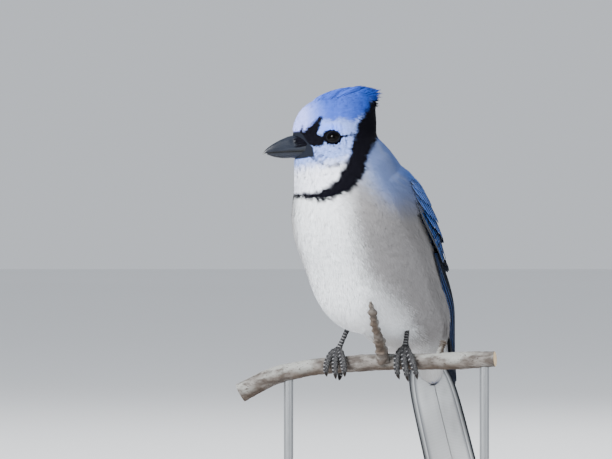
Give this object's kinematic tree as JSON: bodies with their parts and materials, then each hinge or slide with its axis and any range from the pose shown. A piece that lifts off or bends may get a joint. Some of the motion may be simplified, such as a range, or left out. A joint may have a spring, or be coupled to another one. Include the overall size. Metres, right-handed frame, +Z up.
{
  "type": "blue jay model",
  "caption": "Life-size still model of a blue jay perched on a short cut length of branch, held on two rods over a flat wooden base.",
  "frame": {"origin": "centre of the base's underside", "axes": "+Z up, +X along the perch to the viewer's right in the picture, +Y away from the viewer"},
  "size_m": [0.184, 0.1239, 0.2763],
  "materials": {
    "plumage_body": "soft body feathers, modelled as solid",
    "plumage_head": "soft head and neck feathers, modelled as solid",
    "feather_blue": "flight and tail feathers",
    "bill": "satin horn, slate black",
    "eye": "wet gloss, very dark brown",
    "horn": "scaly dark grey skin and claws",
    "bark": "rough grey bark with pale cut ends",
    "stand_wood": "satin oiled",
    "stand_steel": "brushed"
  },
  "bodies": {
    "root": {"head": "plumage_head", "bill_upper": "bill", "bill_lower": "bill", "eye_left": "eye", "eye_right": "eye", "neck": "plumage_head", "torso": "plumage_body", "wing_left": "feather_blue", "wing_right": "feather_blue", "tail": "feather_blue", "leg_left": "horn", "leg_right": "horn", "foot_left": "horn", "foot_right": "horn", "perch_branch": "bark", "stand_base": "stand_wood", "stand_rod_left": "stand_steel", "stand_rod_right": "stand_steel"}
  },
  "joints": []
}
